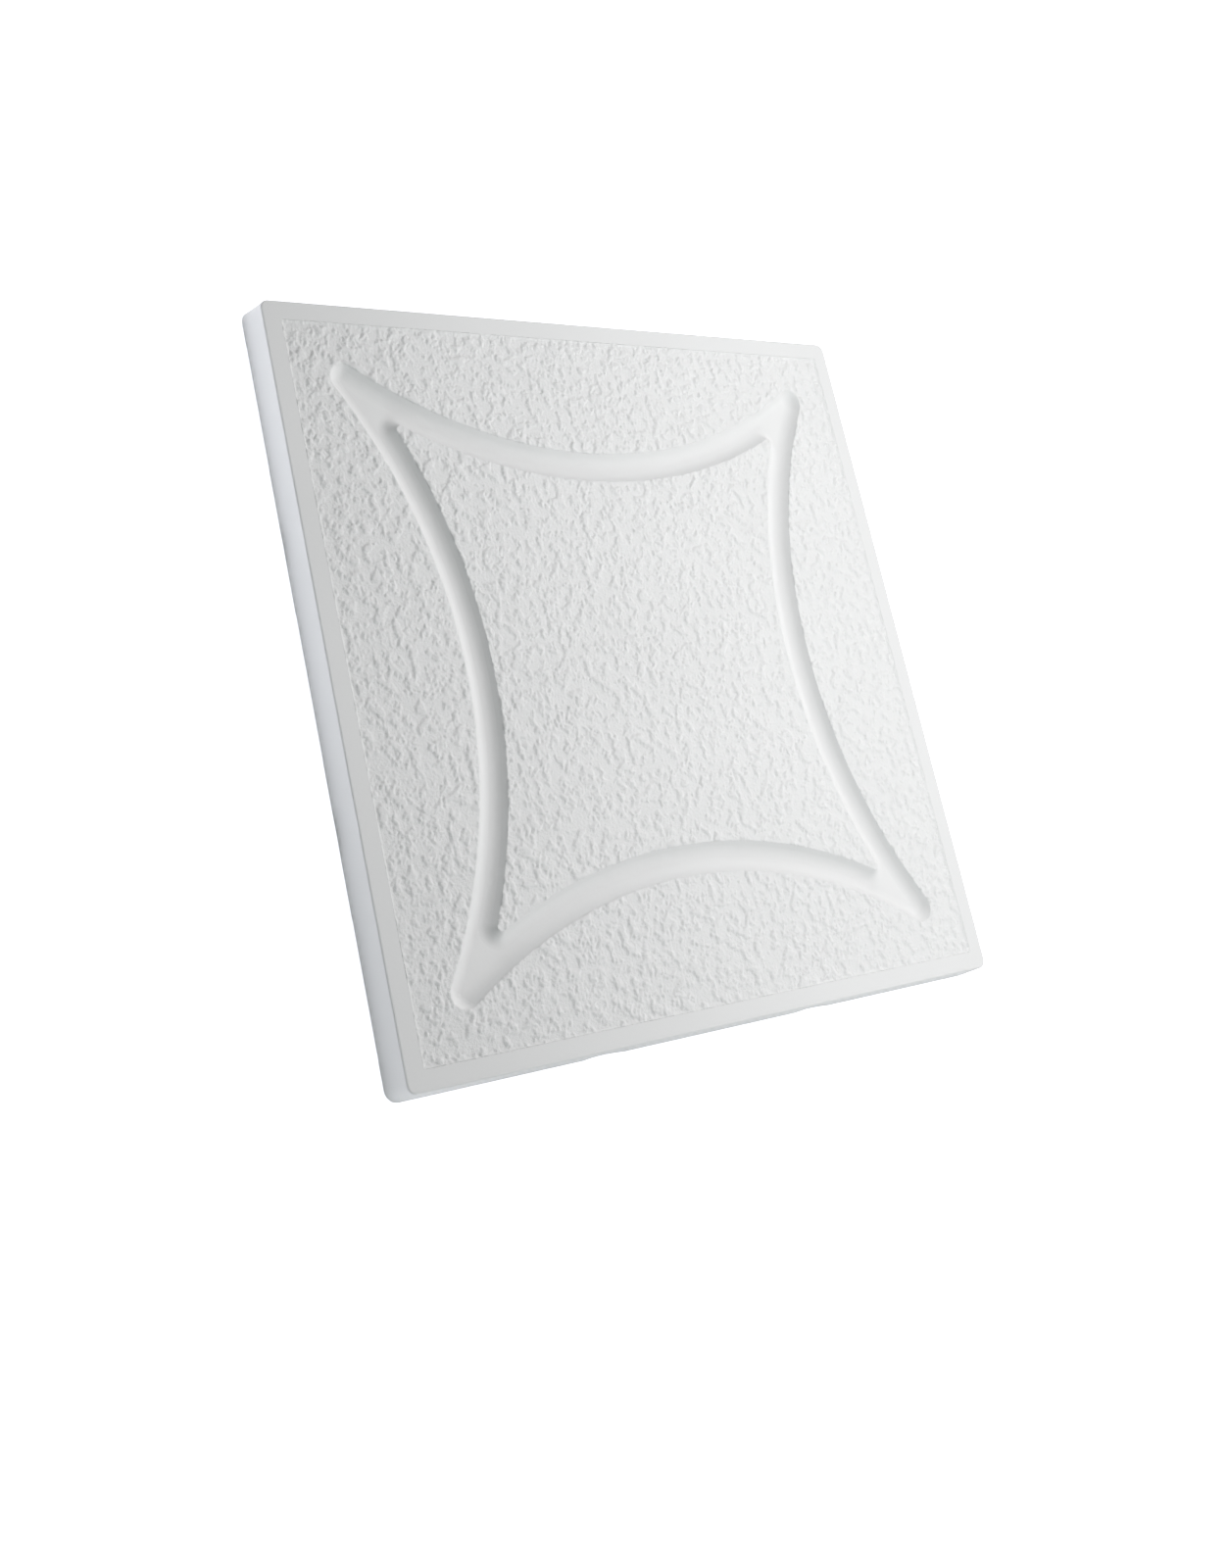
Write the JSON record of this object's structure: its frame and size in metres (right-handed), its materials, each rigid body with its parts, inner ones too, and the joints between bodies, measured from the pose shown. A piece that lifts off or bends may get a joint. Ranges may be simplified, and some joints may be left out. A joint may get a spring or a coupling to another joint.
{
  "type": "ceiling tile",
  "caption": "Square cast plaster ceiling tile: smooth rim, stippled field and a coved groove in the shape of a four-pointed star, with ribs at the back.",
  "frame": {"origin": "centre of the tile's outline, on the plane its back rests on", "axes": "+Z out of the decorated face, X and Y along the sides"},
  "size_m": [0.595, 0.595, 0.03],
  "materials": {
    "plaster": "matte"
  },
  "bodies": {
    "root": {"tile": "plaster"}
  },
  "joints": []
}
